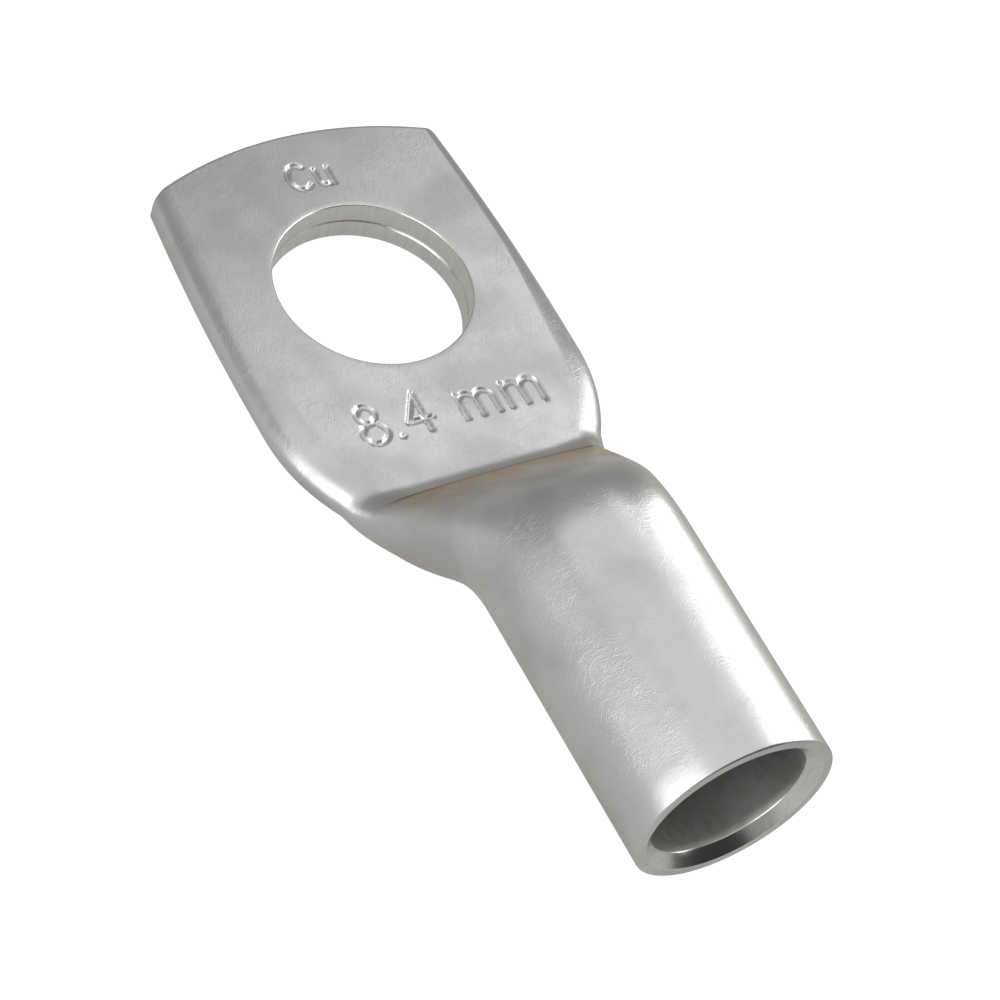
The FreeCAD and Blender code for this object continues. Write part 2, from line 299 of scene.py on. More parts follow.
def cubic(poles, t):
    """Four poles weighted (1-t)^3, 3t(1-t)^2, 3t^2(1-t) and t^3."""
    s = 1 - t
    weights = np.stack([s**3, 3 * t * s * s, 3 * t * t * s, t**3], axis=-1)
    return weights @ poles


def ring(x, g):
    """Points of the outside at x. The whole part of g, 0 to 5, picks one of
    the six curves and the rest is how far along it the point is."""
    half, top_edge, under_edge, lean, under_lean, top, bottom, widest = section_size(x)
    coin = COIN_SHARE * max(0.0, 1 - (x - STEP_START) / CREASE_FADES_OVER)
    upper = corner_poles(top_edge, lean, top, 1, half, widest, coin)
    lower = corner_poles(under_edge, under_lean, bottom, -1, half, widest, coin)
    other_side = np.array([-1, 1])
    curves = [
        cap_poles(top_edge, lean, top, 1),
        upper,
        lower[::-1],
        cap_poles(under_edge, under_lean, bottom, -1)[::-1],
        lower * other_side,
        (upper * other_side)[::-1],
    ]
    points = np.full((len(g), 3), float(x))
    for k, poles in enumerate(curves):
        here = (g >= k) & (g < k + 1)
        points[here, 1:] = cubic(poles, g[here] - k)
    return points


print("crown of the tube at z", round(ring(MOUTH_X, np.array([0.5]))[0, 2], 2))

# %% [markdown]
# ## Rows and columns
#
# A surface on a grid can only be sewn to its neighbour if both have the same
# points along the join. So the columns are settled once. Across the step line
# run 120 of them, fine enough for the stamped marks. The rounded side has its
# own rows, and three of them follow the seam between the two pressed layers.

# %% Settle the columns
CAP_STEPS = 120
CORNER_STEPS = 16
SEAM_Z = 0.94
SEAM_HALF_WIDTH = 0.06
SEAM_DEPTH = 0.12
CLEAR_OF_SEAM = 0.02
UNIT_CORNER = np.array([
    (0, 1), (handle(pi / 2), 1 - COIN_SHARE), (1, handle(pi / 2)), (1, 0)])


def corner_t_at(drop):
    """Where along a corner curve its height has come down to this share."""
    t = np.linspace(0, 1, 2001)
    return float(np.interp(-drop, -cubic(UNIT_CORNER, t)[:, 1], t))


even = np.linspace(0, 1, CORNER_STEPS + 1)
above_seam = corner_t_at((SEAM_Z + SEAM_HALF_WIDTH - MIDDLE) / MIDDLE)
in_seam = [corner_t_at((MIDDLE - SEAM_Z + s * SEAM_HALF_WIDTH) / MIDDLE) for s in (0, 1)]
below_seam = even[even < min(in_seam) - CLEAR_OF_SEAM]
upper_t = np.sort(np.append(even, above_seam))
lower_t = np.sort(np.append(below_seam, in_seam + [1.0]))
cap_t = np.arange(CAP_STEPS) / CAP_STEPS
COLUMNS = np.concatenate([
    cap_t,
    1 + upper_t[:-1],
    2 + (1 - lower_t[::-1])[:-1],
    3 + cap_t,
    4 + lower_t[:-1],
    5 + (1 - upper_t[::-1])[:-1],
])
print(len(COLUMNS), "columns round the tube")

# %% [markdown]
# ## The skin from the step to the mouth
#
# Each station is one section, and the stations are joined in order, like the
# hoops of a barrel. On the palm the columns crowd on the flat, which would
# leave the round tube coarse at its sides, so along the ramp they slide until
# they are evenly spaced by length. The stations follow the arcs of the step.
# A press leaves no sudden change of curvature, so each section is then
# averaged with those just before and after it.

# %% Slide the columns to equal spacing
EVEN_FROM_X, EVEN_BY_X = 10.9, 16.5
FINE_STEPS = 1200


def three_turns(values, whole):
    """The values of one turn, with the turn before it and the turn after it,
    so that a column may pass the start."""
    return np.concatenate([values[:-1] - whole, values, values[1:] + whole])


def skin_ring(x):
    """The section with its columns moved towards equal spacing by length."""
    even_share = float(spread(x, EVEN_FROM_X, EVEN_BY_X))
    if even_share == 0:
        return ring(x, COLUMNS)
    fine = np.linspace(0, 6, FINE_STEPS + 1)
    closed = ring(x, np.mod(fine, 6.0))
    length = np.append(0, np.cumsum(np.linalg.norm(np.diff(closed, axis=0), axis=1)))
    own = np.interp(COLUMNS, fine, length)
    middle = own[CAP_STEPS // 2]
    count = np.arange(len(COLUMNS)) - CAP_STEPS // 2
    wanted = middle + count / len(COLUMNS) * length[-1]
    moved = own + (wanted - own) * even_share
    g = np.interp(moved, three_turns(length, length[-1]), three_turns(fine, 6.0))
    return ring(x, np.mod(g, 6.0))


print("first column at the mouth:", np.round(skin_ring(MOUTH_X)[0], 2))

# %% Place the stations
MOUTH_EDGE = 0.10
FILLET_ROWS, CREST_ROWS, RAMP_ROWS, CROWN_ROWS, TUBE_ROWS = 13, 6, 21, 18, 11
crest_turn = np.linspace(WALL, RAMP, CREST_ROWS)
fillet_x = STEP_X + STEP_FILLET * np.sin(np.linspace(0, WALL, FILLET_ROWS))
crest_x = WALL_END_X + CREST_ROUND * (sin(WALL) - np.sin(crest_turn))
ramp_x = np.linspace(CREST_END_X, RAMP_END_X, RAMP_ROWS)
crown_x = ROUND_START_X - CROWN_ARC * np.sin(np.linspace(RAMP, 0, CROWN_ROWS))
tube_x = np.linspace(ROUND_START_X, MOUTH_X - MOUTH_EDGE, TUBE_ROWS)
STATIONS = np.concatenate([
    [STEP_START, STEP_START + 0.15],
    fillet_x,
    crest_x,
    ramp_x[1:],
    crown_x[1:],
    tube_x[1:],
])
print(len(STATIONS), "stations")

# %% Average the sections and stack them
REACH = 0.6
SOFT_STEPS = ((-1, 1 / 9), (-0.5, 2 / 9), (0, 3 / 9), (0.5, 2 / 9), (1, 1 / 9))
CORNER_PART = (0.36, 0.50)
SOFT_CORNERS = (STEP_START, STEP_START + 0.8)
SOFT_ALL_ROUND = (10.9, 11.8)
PLAIN_TUBE = (17.2, 18.2)
BLURRED_FROM, BLURRED_TO = (11.0, 12.0), (16.2, 17.5)
BLUR_WEIGHTS = (1, 2, 3, 4, 5, 4, 3, 2, 1)


def soft_ring(x, reach):
    """Sections from reach before x to reach after it, averaged with the
    middle one weighing most."""
    total = np.zeros((len(COLUMNS), 3))
    for step, weight in SOFT_STEPS:
        total += weight * skin_ring(x + step * reach)
    total[:, 0] = x
    return total


# How far each column is round a corner: 0 along the edges, 1 at the sides.
from_middle = np.abs(np.mod(COLUMNS, 3.0) - 0.5)
on_corner = np.clip((from_middle - CORNER_PART[0]) / (CORNER_PART[1] - CORNER_PART[0]), 0, 1)
rows = []
for x in STATIONS:
    before_tube = 1 - float(spread(x, *PLAIN_TUBE))
    all_round = REACH * before_tube * float(spread(x, *SOFT_ALL_ROUND))
    at_corners = REACH * before_tube * float(spread(x, *SOFT_CORNERS))
    plain, soft = soft_ring(x, all_round), soft_ring(x, at_corners)
    rows.append(plain + (soft - plain) * on_corner[:, None])
skin = np.stack(rows)
# On the dome the columns are averaged too, each with its four neighbours on
# either side.
dome_share = spread(STATIONS, *BLURRED_FROM) * (1 - spread(STATIONS, *BLURRED_TO))
blurred = sum(weight / sum(BLUR_WEIGHTS) * np.roll(skin, k, axis=1)
              for k, weight in zip(range(-4, 5), BLUR_WEIGHTS))
skin += (blurred - skin) * dome_share[:, None, None]
print("skin:", skin.shape[0], "stations, x", skin[0, 0, 0], "to", round(skin[-1, 0, 0], 2))

# %% [markdown]
# ## The mouth and the bore
#
# The tube is sawn off and its bore is chamfered, so the wire goes in easily.
# Turned round the tube's axis, the mouth is a short line in radius and x:
# over the broken outer edge, across the sawn ring, down the chamfer and into
# the bore. Deeper in, the bore flattens to a slit where the two layers meet.
# Both are rows of points on the same columns as the skin.

# %% Turn the mouth
BORE_RADIUS = 3.26
BORE_CHAMFER = 0.47
BORE_END_X = 17.6
LIP = 0.02
SAWN_RING_STEPS = (0.22, 0.05, 0.02)
BELOW_CHAMFER = 0.8
around = np.arctan2(skin[-1, :, 2] - TUBE_AXIS_Z, skin[-1, :, 1])


def turned(x, radius):
    """One ring of the mouth: every column at this radius about the axis."""
    y, z = radius * np.cos(around), TUBE_AXIS_Z + radius * np.sin(around)
    return np.stack([np.full_like(y, x), y, z], axis=-1)


edge_profile = [
    (MOUTH_X - MOUTH_EDGE * (1 - sin(a)), TUBE_RADIUS - MOUTH_EDGE * (1 - cos(a)))
    for a in np.linspace(0, pi / 2, 5)[1:]
]
chamfer_top = BORE_RADIUS + BORE_CHAMFER
ring_profile = [(MOUTH_X, chamfer_top + s) for s in SAWN_RING_STEPS]
chamfer_profile = [
    (MOUTH_X - LIP * 0.3, chamfer_top - LIP * 0.3),
    (MOUTH_X - LIP * 1.5, chamfer_top - LIP * 1.5),
    (MOUTH_X - BORE_CHAMFER * 0.5, chamfer_top - BORE_CHAMFER * 0.5),
    (MOUTH_X - BORE_CHAMFER + LIP * 1.5, BORE_RADIUS + LIP * 1.5),
    (MOUTH_X - BORE_CHAMFER, BORE_RADIUS + LIP * 0.4),
    (MOUTH_X - BORE_CHAMFER - LIP * 1.5, BORE_RADIUS),
]
bore_x = np.linspace(MOUTH_X - BELOW_CHAMFER, BORE_END_X, 8)
bore_profile = [(x, BORE_RADIUS) for x in bore_x]
profile = edge_profile + ring_profile + chamfer_profile + bore_profile
mouth = np.stack([skin[-1]] + [turned(x, r) for x, r in profile])
chamfer_row = len(edge_profile) + len(ring_profile)
bore_row = chamfer_row + len(chamfer_profile)
print("mouth:", mouth.shape[0], "rings")

# %% Narrow the bore to a slit
SLIT_X = 10.2
SQUARE_FROM_X, SQUARENESS = 12.0, 0.4
# At each x: half width, half height and height of the middle.
BORE_AT = np.array([
    (SLIT_X, 3.90, 0.10, 1.00),
    (11.9, 3.62, 0.90, 1.90),
    (13.6, 3.36, 1.72, 2.90),
    (15.6, 3.22, 2.62, 4.02),
    (BORE_END_X, BORE_RADIUS, BORE_RADIUS, TUBE_AXIS_Z),
])


def flattened(x):
    """A ring of the narrowing bore: an ellipse of the table's sizes whose
    cosine and sine are raised to a power below 1, which squares it up."""
    half, high, middle = (np.interp(x, BORE_AT[:, 0], BORE_AT[:, k]) for k in (1, 2, 3))
    power = 1 - SQUARENESS * (1 - float(spread(x, SQUARE_FROM_X, BORE_END_X)))
    c, s = np.cos(around), np.sin(around)
    y = half * np.sign(c) * np.abs(c) ** power
    z = middle + high * np.sign(s) * np.abs(s) ** power
    return np.stack([np.full_like(y, x), y, z], axis=-1)


narrow_x = np.linspace(BORE_END_X, SLIT_X, 14)
narrowing = np.stack([mouth[-1]] + [flattened(x) for x in narrow_x[1:]])
slit_end = narrowing[-1].copy()
slit_end[:, 2] = narrowing[-1][:, 2].mean()
bore = np.concatenate([narrowing, slit_end[None]])
print("bore:", bore.shape[0], "rings")

# %% [markdown]
# ## The outline of the palm at every height
#
# The tip was cut straight down after pressing, so its wall is upright, while
# the long sides are round. At each height the outline is therefore two lines:
# the side, pulled in by the rounding, and the tip's arc. Where they meet is
# found by halving an interval, for all heights at once. A groove of a tenth
# of a millimetre on the tip shows the seam between the two pressed layers.

# %% The tip's line
TIP_EDGE = 0.08
CORNER_BACK = 1.3
SLOPE_RUN = 2.5
TRIES = 30
TIP_CENTRE_X = TIP_X + TIP_ARC
corner_y = float(palm_half_width(TIP_X + CORNER_BACK))
corner_x = TIP_CENTRE_X - sqrt(TIP_ARC**2 - corner_y**2)
side_slope = (float(palm_half_width(corner_x + SLOPE_RUN)) - corner_y) / SLOPE_RUN
# The centre of the corner's small arc lies its radius inside both lines.
round_x = corner_x + TIP_CORNER_ROUND
for _ in range(TRIES):
    drop = TIP_CORNER_ROUND * sqrt(1 + side_slope**2)
    round_y = corner_y + side_slope * (round_x - corner_x) - drop
    round_x = TIP_CENTRE_X - sqrt((TIP_ARC - TIP_CORNER_ROUND) ** 2 - round_y**2)


def tip_x(y, inset):
    """The tip's line for each half width y: its arc, then the small arc of
    the corner, both pulled in by inset."""
    arc_radius, round_radius = TIP_ARC - inset, TIP_CORNER_ROUND - inset
    arc = TIP_CENTRE_X - np.sqrt(arc_radius**2 - y**2)
    beyond = np.clip(round_radius**2 - (y - round_y) ** 2, 0, None)
    touch_y = round_y * arc_radius / (TIP_ARC - TIP_CORNER_ROUND)
    return np.where(y > touch_y, round_x - np.sqrt(beyond), arc)


print("tip's corner at", round(corner_x, 2), round(corner_y, 2))

# %% Where the side and the tip meet
MEET_FROM_Y = 4.0
NEARLY = 0.995
HALVINGS = 40
upper = cubic(UNIT_CORNER, upper_t)
lower = cubic(UNIT_CORNER, lower_t[::-1][1:])
level_out = np.append(upper[:, 0], lower[:, 0])
level_z = np.append(MIDDLE + MIDDLE * upper[:, 1], MIDDLE - MIDDLE * lower[:, 1])
from_face = np.minimum(level_z, PALM_THICKNESS - level_z)
rounded = np.clip(TIP_EDGE - from_face, 0, TIP_EDGE)
level_inset = TIP_EDGE - np.sqrt(TIP_EDGE**2 - rounded**2)


def side_y(x, out):
    """The side's half width where the rounding is out of the way by out."""
    return palm_half_width(x) - side_round(x) * (1 - out)


near = np.full(len(level_z), MEET_FROM_Y)
far = round_y + (TIP_CORNER_ROUND - level_inset) * NEARLY
for _ in range(HALVINGS):
    half_way = (near + far) / 2
    inside = side_y(tip_x(half_way, level_inset), level_out) > half_way
    near, far = np.where(inside, half_way, near), np.where(inside, far, half_way)
meet_y = near
meet_x = tip_x(meet_y, level_inset)
print("widest at the tip:", round(2 * float(meet_y.max()), 2), "mm")

# %% The band round the palm
SEAM_FADES_Y = (6.4, 6.9)
# Columns crowd by the step, by the tip's corner and across the tip's middle.
side_share = np.concatenate([
    np.linspace(0, 0.19, 33)[:-1],
    np.linspace(0.19, 0.95, 58)[:-1],
    np.linspace(0.95, 1, 7),
])
side_line_x = STEP_START + side_share * (meet_x[:, None] - STEP_START)
side_line_y = side_y(side_line_x, level_out[:, None])
side_line_y[:, -1] = meet_y
tip_share = np.concatenate([
    np.linspace(1, 0.93, 9)[:-1],
    np.linspace(0.93, 0.42, 25)[:-1],
    np.linspace(0.42, 0, 45),
])
tip_share = np.append(tip_share, -tip_share[::-1][1:])
tip_line_y = meet_y[:, None] * tip_share[None, :]
tip_line_x = tip_x(np.abs(tip_line_y), level_inset[:, None])
seam_row = np.argmin(np.abs(level_z - SEAM_Z))
tip_line_x[seam_row] += SEAM_DEPTH * (1 - spread(np.abs(tip_line_y[seam_row]), *SEAM_FADES_Y))
band_x = np.hstack([side_line_x, tip_line_x[:, 1:-1], side_line_x[:, ::-1]])
band_y = np.hstack([side_line_y, tip_line_y[:, 1:-1], -side_line_y[:, ::-1]])
band = np.stack([band_x, band_y, np.broadcast_to(level_z[:, None], band_x.shape)], -1)
print("palm's side band:", band.shape[0], "heights,", band.shape[1], "columns")

# %% [markdown]
# ## The stamped marks
#
# A lug is stamped with a few marks. The ones here are generic: the symbol of
# copper by the tip and the width of the stud hole by the step. They could be
# text objects cut out with a Boolean, but a stamp leaves strokes with slanted
# walls and a narrow floor, and that is simply a depth that depends on the
# distance to the stroke's middle line. So each letter is a few lines, and
# the palm's grid is pressed down along them.

# %% Draw the letters as lines
def arc_line(centre, radii, start, end, count=14):
    """Points of an ellipse: centre plus radius times cosine and sine."""
    a = np.radians(np.linspace(start, end, count))
    return np.stack([centre[0] + radii[0] * np.cos(a), centre[1] + radii[1] * np.sin(a)], 1)


def line(*points):
    """A stroke through a few points."""
    return np.array(points, float)


# Each letter, one unit high: its width and its strokes.
LETTERS = {
    "C": (0.66, [arc_line((0.36, 0.5), (0.34, 0.46), 48, 312, 22)]),
    "u": (0.52, [
        line((0.04, 0.66), (0.04, 0.26)),
        arc_line((0.25, 0.27), (0.21, 0.23), 180, 360),
        line((0.46, 0.66), (0.46, 0.04)),
    ]),
    "8": (0.56, [
        arc_line((0.28, 0.76), (0.20, 0.22), 0, 360, 22),
        arc_line((0.28, 0.28), (0.27, 0.26), 0, 360, 24),
    ]),
    ".": (0.06, [line((0.03, 0.03), (0.04, 0.04))]),
    "4": (0.60, [line((0.42, 0.02), (0.42, 1.0), (0.02, 0.32), (0.58, 0.32))]),
    "m": (0.86, [
        line((0.04, 0.66), (0.04, 0.04)),
        arc_line((0.235, 0.46), (0.195, 0.19), 180, 0),
        line((0.43, 0.46), (0.43, 0.04)),
        arc_line((0.625, 0.46), (0.195, 0.19), 180, 0),
        line((0.82, 0.46), (0.82, 0.04)),
    ]),
    " ": (0.22, []),
}


def lettering(text, height, gap, foot_x, centre_y):
    """The strokes of a word on the palm. Letters stand with their tops
    towards the tip and are read from -y to +y."""
    widths = [LETTERS[c][0] * height for c in text]
    y = centre_y - (sum(widths) + gap * (len(text) - 1)) / 2
    strokes = []
    for c, width in zip(text, widths):
        for s in LETTERS[c][1]:
            strokes.append(np.stack([foot_x - s[:, 1] * height, y + s[:, 0] * height], 1))
        y += width + gap
    return strokes


marks = lettering("Cu", height=1.42, gap=0.30, foot_x=-5.36, centre_y=0.0)
marks += lettering("8.4 mm", height=1.95, gap=0.42, foot_x=7.58, centre_y=0.15)
print(len(marks), "strokes")

# %% Press them into a height map
STROKE_FLOOR = 0.045
STROKE_WALL = 0.10
STROKE_DEPTH = 0.12
FAR_AWAY = 9.0


def stamped(x, y):
    """Depth at each point: full over the stroke's floor, then falling in a
    straight slant over its wall, from the distance to the nearest stroke."""
    nearest = np.full(x.shape, FAR_AWAY)
    for stroke in marks:
        for a, b in zip(stroke[:-1], stroke[1:]):
            along = b - a
            share = ((x - a[0]) * along[0] + (y - a[1]) * along[1]) / (along @ along)
            share = np.clip(share, 0, 1)
            away = np.hypot(x - a[0] - share * along[0], y - a[1] - share * along[1])
            nearest = np.minimum(nearest, away)
    slant = np.clip((STROKE_FLOOR + STROKE_WALL - nearest) / STROKE_WALL, 0, 1)
    return STROKE_DEPTH * slant


first_foot = marks[0][:1]
print("depth on a stroke:", stamped(first_foot[:, 0], first_foot[:, 1]))

# %% [markdown]
# ## The flats and the stud hole
#
# The palm's top and underside are rings of points that shrink from the
# outline to the hole. Half way along, the rings lie close together, where the
# marks are. The hole's wall is a profile turned about z: a broken edge at the
# top, the groove of the seam, and a nearly sharp edge underneath. The punch
# smeared the seam shut on most of the wall. It gapes on one side only, and on
# a part of that side its lower lip is broken away. So the profile's groove
# opens and closes with the angle about the hole.

# %% Fill the top and the underside
HOLE_RADIUS = 4.2
HOLE_EDGE = 0.07
UNDER_EDGE = 0.03
step_y = skin[0, :CAP_STEPS + 1, 1]


def closed_outline(level):
    """The band's line at one height, closed by the step line."""
    step = np.stack([
        np.full(CAP_STEPS - 1, STEP_START),
        step_y[1:-1],
        np.full(CAP_STEPS - 1, level_z[level]),
    ], -1)
    return np.vstack([band[level], step])


top_outline, under_outline = closed_outline(0), closed_outline(-1)
turn = np.arctan2(top_outline[:, 1], top_outline[:, 0])


def hole_ring(radius, z):
    """A circle about the hole's axis on the outline's own directions."""
    return np.stack([
        radius * np.cos(turn), radius * np.sin(turn), np.broadcast_to(z, turn.shape)
    ], -1)


def flat_rings(outline, hole, shares):
    """Rings between the outline (share 1) and the hole's edge (share 0)."""
    s = np.asarray(shares)[:, None, None]
    return outline[None] * s + hole[None] * (1 - s)


top_shares = np.concatenate([
    [1.0, 0.985],
    np.linspace(0.95, 0.78, 5),
    np.linspace(0.76, 0.22, 48),
    np.linspace(0.18, 0.0, 5),
])
top = flat_rings(top_outline, hole_ring(HOLE_RADIUS + HOLE_EDGE, PALM_THICKNESS), top_shares)
top[:, :, 2] -= stamped(top[:, :, 0], top[:, :, 1])
underside = flat_rings(
    under_outline, hole_ring(HOLE_RADIUS + UNDER_EDGE, 0.0), np.linspace(1, 0, 8)
)
print("top:", top.shape[:2], "underside:", underside.shape[:2])

# %% Punch the hole
SEAM_TOWARD, SEAM_FADE = radians(143.0), (0.50, 0.72)
LIP_TOWARD, LIP_FADE = radians(112.0), (0.80, 0.92)
SHUT_GAP = 0.03
ABOVE_SEAM, UNDER_SEAM = 0.09, 0.10
SEAM_FLARE, LIP_WIDTH, LIP_DROP = 0.012, 0.045, 0.03
HOLE_SEAM_DEPTH = 1.8 * SEAM_DEPTH
HIGH_ON_WALL, LOW_ON_WALL = 1.4, 0.4
gap = SHUT_GAP + (1 - SHUT_GAP) * spread(np.cos(turn - SEAM_TOWARD), *SEAM_FADE)
lip = gap * spread(np.cos(turn - LIP_TOWARD), *LIP_FADE)
flared = HOLE_RADIUS + SEAM_FLARE * gap
hole_profile = [
    (HOLE_RADIUS + HOLE_EDGE * (1 - sin(a)), PALM_THICKNESS - HOLE_EDGE * (1 - cos(a)))
    for a in np.linspace(0, pi / 2, 7)
]
hole_profile += [
    (HOLE_RADIUS, HIGH_ON_WALL),
    (HOLE_RADIUS, SEAM_Z + ABOVE_SEAM * gap),
    (flared, SEAM_Z + SEAM_HALF_WIDTH * gap),
    (HOLE_RADIUS + HOLE_SEAM_DEPTH * gap, SEAM_Z),
    (flared + LIP_WIDTH * lip, SEAM_Z - SEAM_HALF_WIDTH * gap),
    (HOLE_RADIUS, SEAM_Z - UNDER_SEAM * gap - LIP_DROP * lip),
    (HOLE_RADIUS, LOW_ON_WALL),
    (HOLE_RADIUS, UNDER_EDGE),
    (HOLE_RADIUS + UNDER_EDGE, 0.0),
]
hole_wall = np.stack([hole_ring(r, z) for r, z in hole_profile])
print("hole wall:", hole_wall.shape[:2], "seam's gap from", gap.min(), "to", gap.max())

# %% [markdown]
# ## Sewing the pieces into one skin
#
# Each grid becomes quads, with a note of the finish it wears. Grids that
# close on themselves repeat their first column. Then points that coincide
# are merged, which closes every join, and the normals are turned outwards
# together. A closed skin has exactly two faces at every edge, so that is
# counted.

# %% Helpers for sewing
MERGE_WITHIN = 0.0006
NO_AREA_UNDER = 0.0001


def grid_faces(rows, columns, first, wraps):
    """Quads between neighbouring rows and columns, numbered from first."""
    across = columns if wraps else columns - 1
    r, c = np.meshgrid(np.arange(rows - 1), np.arange(across), indexing="ij")
    after = (c + 1) % columns
    quads = np.stack([r * columns + c, r * columns + after,
                      (r + 1) * columns + after, (r + 1) * columns + c], -1)
    return quads.reshape(-1, 4) + first


def sewn_mesh(name, patches):
    """One mesh from (grid, wraps, finish) patches, merged and turned out."""
    points, faces, finish, first = [], [], [], 0
    for grid, wraps, material in patches:
        rows, columns = grid.shape[:2]
        quads = grid_faces(rows, columns, first, wraps)
        points.append(grid.reshape(-1, 3))
        faces.append(quads)
        finish.append(np.full(len(quads), material))
        first += rows * columns
    mesh = bpy.data.meshes.new(name)
    corners = np.concatenate(faces)
    mesh.from_pydata(np.concatenate(points) * MM, [], corners.tolist())
    mesh.polygons.foreach_set("material_index", np.concatenate(finish).astype(np.int32))
    work = bmesh.new()
    work.from_mesh(mesh)
    bmesh.ops.remove_doubles(work, verts=work.verts, dist=MERGE_WITHIN * MM)
    bmesh.ops.dissolve_degenerate(work, edges=work.edges, dist=NO_AREA_UNDER * MM)
    bmesh.ops.recalc_face_normals(work, faces=work.faces)
    open_edges = sum(len(e.link_faces) != 2 for e in work.edges)
    volume = work.calc_volume(signed=True) / MM**3
    work.to_mesh(mesh)
    work.free()
    print(name, "edges without two faces:", open_edges, "volume mm3:", round(volume, 1))
    return mesh


def put_in_scene(name, data):
    """An object of this data in the scene, at the origin."""
    placed = bpy.data.objects.new(name, data)
    bpy.context.scene.collection.objects.link(placed)
    return placed


print("points closer than", MERGE_WITHIN, "mm are merged")

# %% Sew the lug
OUTSIDE, PUNCHED, INSIDE = 0, 1, 2
SHARP_FROM = radians(38)
lug_mesh = sewn_mesh("pressed_lug", [
    (skin, True, OUTSIDE),
    (mouth[:chamfer_row + 1], True, OUTSIDE),
    (mouth[chamfer_row:bore_row + 1], True, PUNCHED),
    (mouth[bore_row:], True, INSIDE),
    (bore, True, INSIDE),
    (band, False, OUTSIDE),
    (top, True, OUTSIDE),
    (underside, True, OUTSIDE),
    (hole_wall, True, PUNCHED),
])
lug_mesh.polygons.foreach_set("use_smooth", np.ones(len(lug_mesh.polygons), bool))
lug_mesh.set_sharp_from_angle(angle=SHARP_FROM)
lug = put_in_scene("pressed_lug", lug_mesh)
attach(lug, "root")
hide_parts("cable_lug")
print("triangles:", sum(len(p.vertices) - 2 for p in lug_mesh.polygons))

# %% [markdown]
# ## The tin's finish
#
# Tin plate on pressed copper is a satin metal: it reflects, but softly, and
# tumbling leaves hair-fine scratches. Scratches could be an image, but noise
# stretched along the direction they run in does it at any size, on the
# object's own coordinates. On the palm they run slantwise along it. On the
# tube they run round it. Between the two, one pattern fades into the other
# at the step. Slow noise adds the faint blotches of the plating bath.

# %% Start a material
def add_node(tree, kind, values=(), **settings):
    """One node, with its settings and the numbers on its sockets."""
    node = tree.nodes.new(kind)
    for key, value in settings.items():
        setattr(node, key, value)
    for key, value in dict(values).items():
        node.inputs[key].default_value = value
    return node


def new_material(name):
    """A material with a metal shader, and Object coordinates in millimetres."""
    material = bpy.data.materials.new(name)
    material.use_nodes = True
    tree = material.node_tree
    tree.nodes.clear()
    output = add_node(tree, "ShaderNodeOutputMaterial")
    shader = add_node(tree, "ShaderNodeBsdfPrincipled", {"Metallic": 1.0})
    tree.links.new(shader.outputs[0], output.inputs[0])
    place = add_node(tree, "ShaderNodeTexCoord")
    scaled = add_node(tree, "ShaderNodeMapping", {"Scale": (1 / MM,) * 3})
    tree.links.new(place.outputs["Object"], scaled.inputs["Vector"])
    return material, tree, shader, scaled.outputs[0]


print("patterns are in units of", MM, "m")

# %% Sums, ramps and mixes of numbers
def math_node(tree, operation, a, b=0.0):
    """One operation on sockets or numbers."""
    node = add_node(tree, "ShaderNodeMath", operation=operation)
    for socket, value in zip(node.inputs, (a, b)):
        if isinstance(value, (int, float)):
            socket.default_value = value
        else:
            tree.links.new(value, socket)
    return node.outputs[0]


def product(tree, first, *others):
    """Sockets or numbers multiplied together."""
    for other in others:
        first = math_node(tree, "MULTIPLY", first, other)
    return first


def strongest(tree, first, *others):
    """The largest of several layers."""
    for other in others:
        first = math_node(tree, "MAXIMUM", first, other)
    return first


def ramp_between(tree, value, low, high, to_low=0.0, to_high=1.0):
    """A straight ramp from one range to another, clamped."""
    node = add_node(tree, "ShaderNodeMapRange", {
        "From Min": low, "From Max": high, "To Min": to_low, "To Max": to_high})
    tree.links.new(value, node.inputs["Value"])
    return node.outputs[0]


def mixed(tree, share, a, b):
    """A where share is 0 and b where it is 1."""
    node = add_node(tree, "ShaderNodeMix", data_type="FLOAT")
    tree.links.new(share, node.inputs[0])
    tree.links.new(a, node.inputs[2])
    tree.links.new(b, node.inputs[3])
    return node.outputs[0]


# %% Colours and bumps
def tint(tree, share, dark, light):
    """A colour between two by share."""
    node = add_node(tree, "ShaderNodeMix", {6: (*dark, 1), 7: (*light, 1)},
                    data_type="RGBA")
    tree.links.new(share, node.inputs[0])
    return node.outputs[2]


def tinted_over(tree, share, colour, over):
    """A colour socket with another colour laid over it by share."""
    node = add_node(tree, "ShaderNodeMix", {7: (*over, 1)}, data_type="RGBA")
    tree.links.new(share, node.inputs[0])
    tree.links.new(colour, node.inputs[6])
    return node.outputs[2]


def raised(tree, shader, height):
    """A height in millimetres becomes a bump of the shader's normal."""
    bump = add_node(tree, "ShaderNodeBump", {"Strength": 1.0, "Distance": MM})
    tree.links.new(height, bump.inputs["Height"])
    tree.links.new(bump.outputs[0], shader.inputs["Normal"])


# %% Streaks and scratches
CREST_OF_NOISE = (0.56, 0.70)


def streaks(tree, place, stretch, turn_z=0.0, detail=3.0, shift=0.0):
    """Noise whose grains are long where stretch is small, turned about z."""
    turned_place = add_node(tree, "ShaderNodeMapping",
                            {"Rotation": (0, 0, radians(turn_z))})
    squeezed = add_node(tree, "ShaderNodeMapping",
                        {"Scale": stretch, "Location": (shift, shift, 0)})
    noise = add_node(tree, "ShaderNodeTexNoise", {"Scale": 1.0, "Detail": detail})
    tree.links.new(place, turned_place.inputs["Vector"])
    tree.links.new(turned_place.outputs[0], squeezed.inputs["Vector"])
    tree.links.new(squeezed.outputs[0], noise.inputs["Vector"])
    return noise.outputs["Fac"]


def clouds(tree, place, per_mm, detail, shift):
    """Noise with no direction, of so many grains to a millimetre."""
    return streaks(tree, place, (per_mm,) * 3, 0.0, detail, shift)


